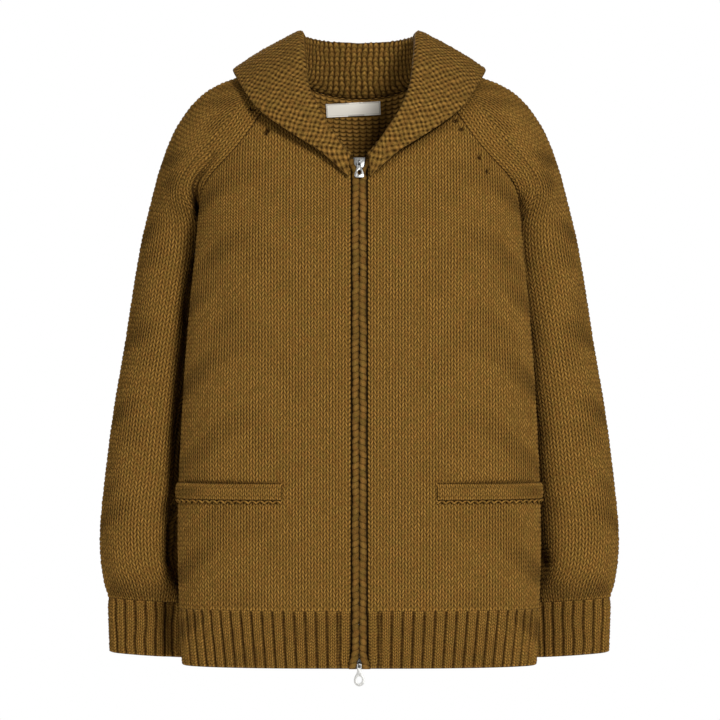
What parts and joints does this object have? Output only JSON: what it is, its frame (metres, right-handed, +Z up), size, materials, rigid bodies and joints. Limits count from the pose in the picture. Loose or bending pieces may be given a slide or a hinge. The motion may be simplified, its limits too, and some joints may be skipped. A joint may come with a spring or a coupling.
{
  "type": "cowichan cardigan",
  "caption": "Bulky-knit raglan cardigan with a rolled shawl collar, full-length two-way zip, inset welt pockets, ribbed hem and cuffs, filled out as if worn.",
  "frame": {"origin": "on the middle plane, at the level where the garment rests on the wearer's shoulders", "axes": "+Z up, -Y out of the fronts, +X towards the wearer's left"},
  "size_m": [0.6006, 0.2214, 0.747],
  "materials": {
    "wool_knit": "bulky wool yarn in stockinette and moss stitch, matt and slightly hairy",
    "wool_rib": "the same wool yarn in two-by-two rib",
    "zip_tape": "woven zip tape, brown",
    "zip_metal": "nickel-plated zinc and brass, satin, lightly scratched",
    "woven_label": "blank woven label, off-white with a thin darker border"
  },
  "bodies": {
    "garment": {"front_left": "wool_knit", "front_right": "wool_knit", "back": "wool_knit", "sleeve_left": "wool_knit", "sleeve_right": "wool_knit", "collar": "wool_knit", "edge_cord_left": "wool_knit", "edge_cord_right": "wool_knit", "pocket_welt_left": "wool_knit", "pocket_welt_right": "wool_knit", "pocket_bag_left": "wool_knit", "pocket_bag_right": "wool_knit", "hem_front_left": "wool_rib", "hem_front_right": "wool_rib", "hem_back": "wool_rib", "cuff_left": "wool_rib", "cuff_right": "wool_rib", "zip_tape_left": "zip_tape", "zip_tape_right": "zip_tape", "zip_chain": "zip_metal", "slider_top": "zip_metal", "slider_bottom": "zip_metal", "label": "woven_label"},
    "top_pull": {"pull_top": "zip_metal"},
    "bottom_pull": {"pull_bottom": "zip_metal"}
  },
  "joints": [
    {"name": "top_pull_hinge", "type": "hinge", "parent": "garment", "child": "top_pull", "pos_m": [0, -0.09754, -0.09864], "axis": [-1, 0, 0], "range_deg": [0, 145]},
    {"name": "bottom_pull_hinge", "type": "hinge", "parent": "garment", "child": "bottom_pull", "pos_m": [0, -0.09891, -0.66533], "axis": [-1, 0, 0], "range_deg": [0, 135]}
  ]
}
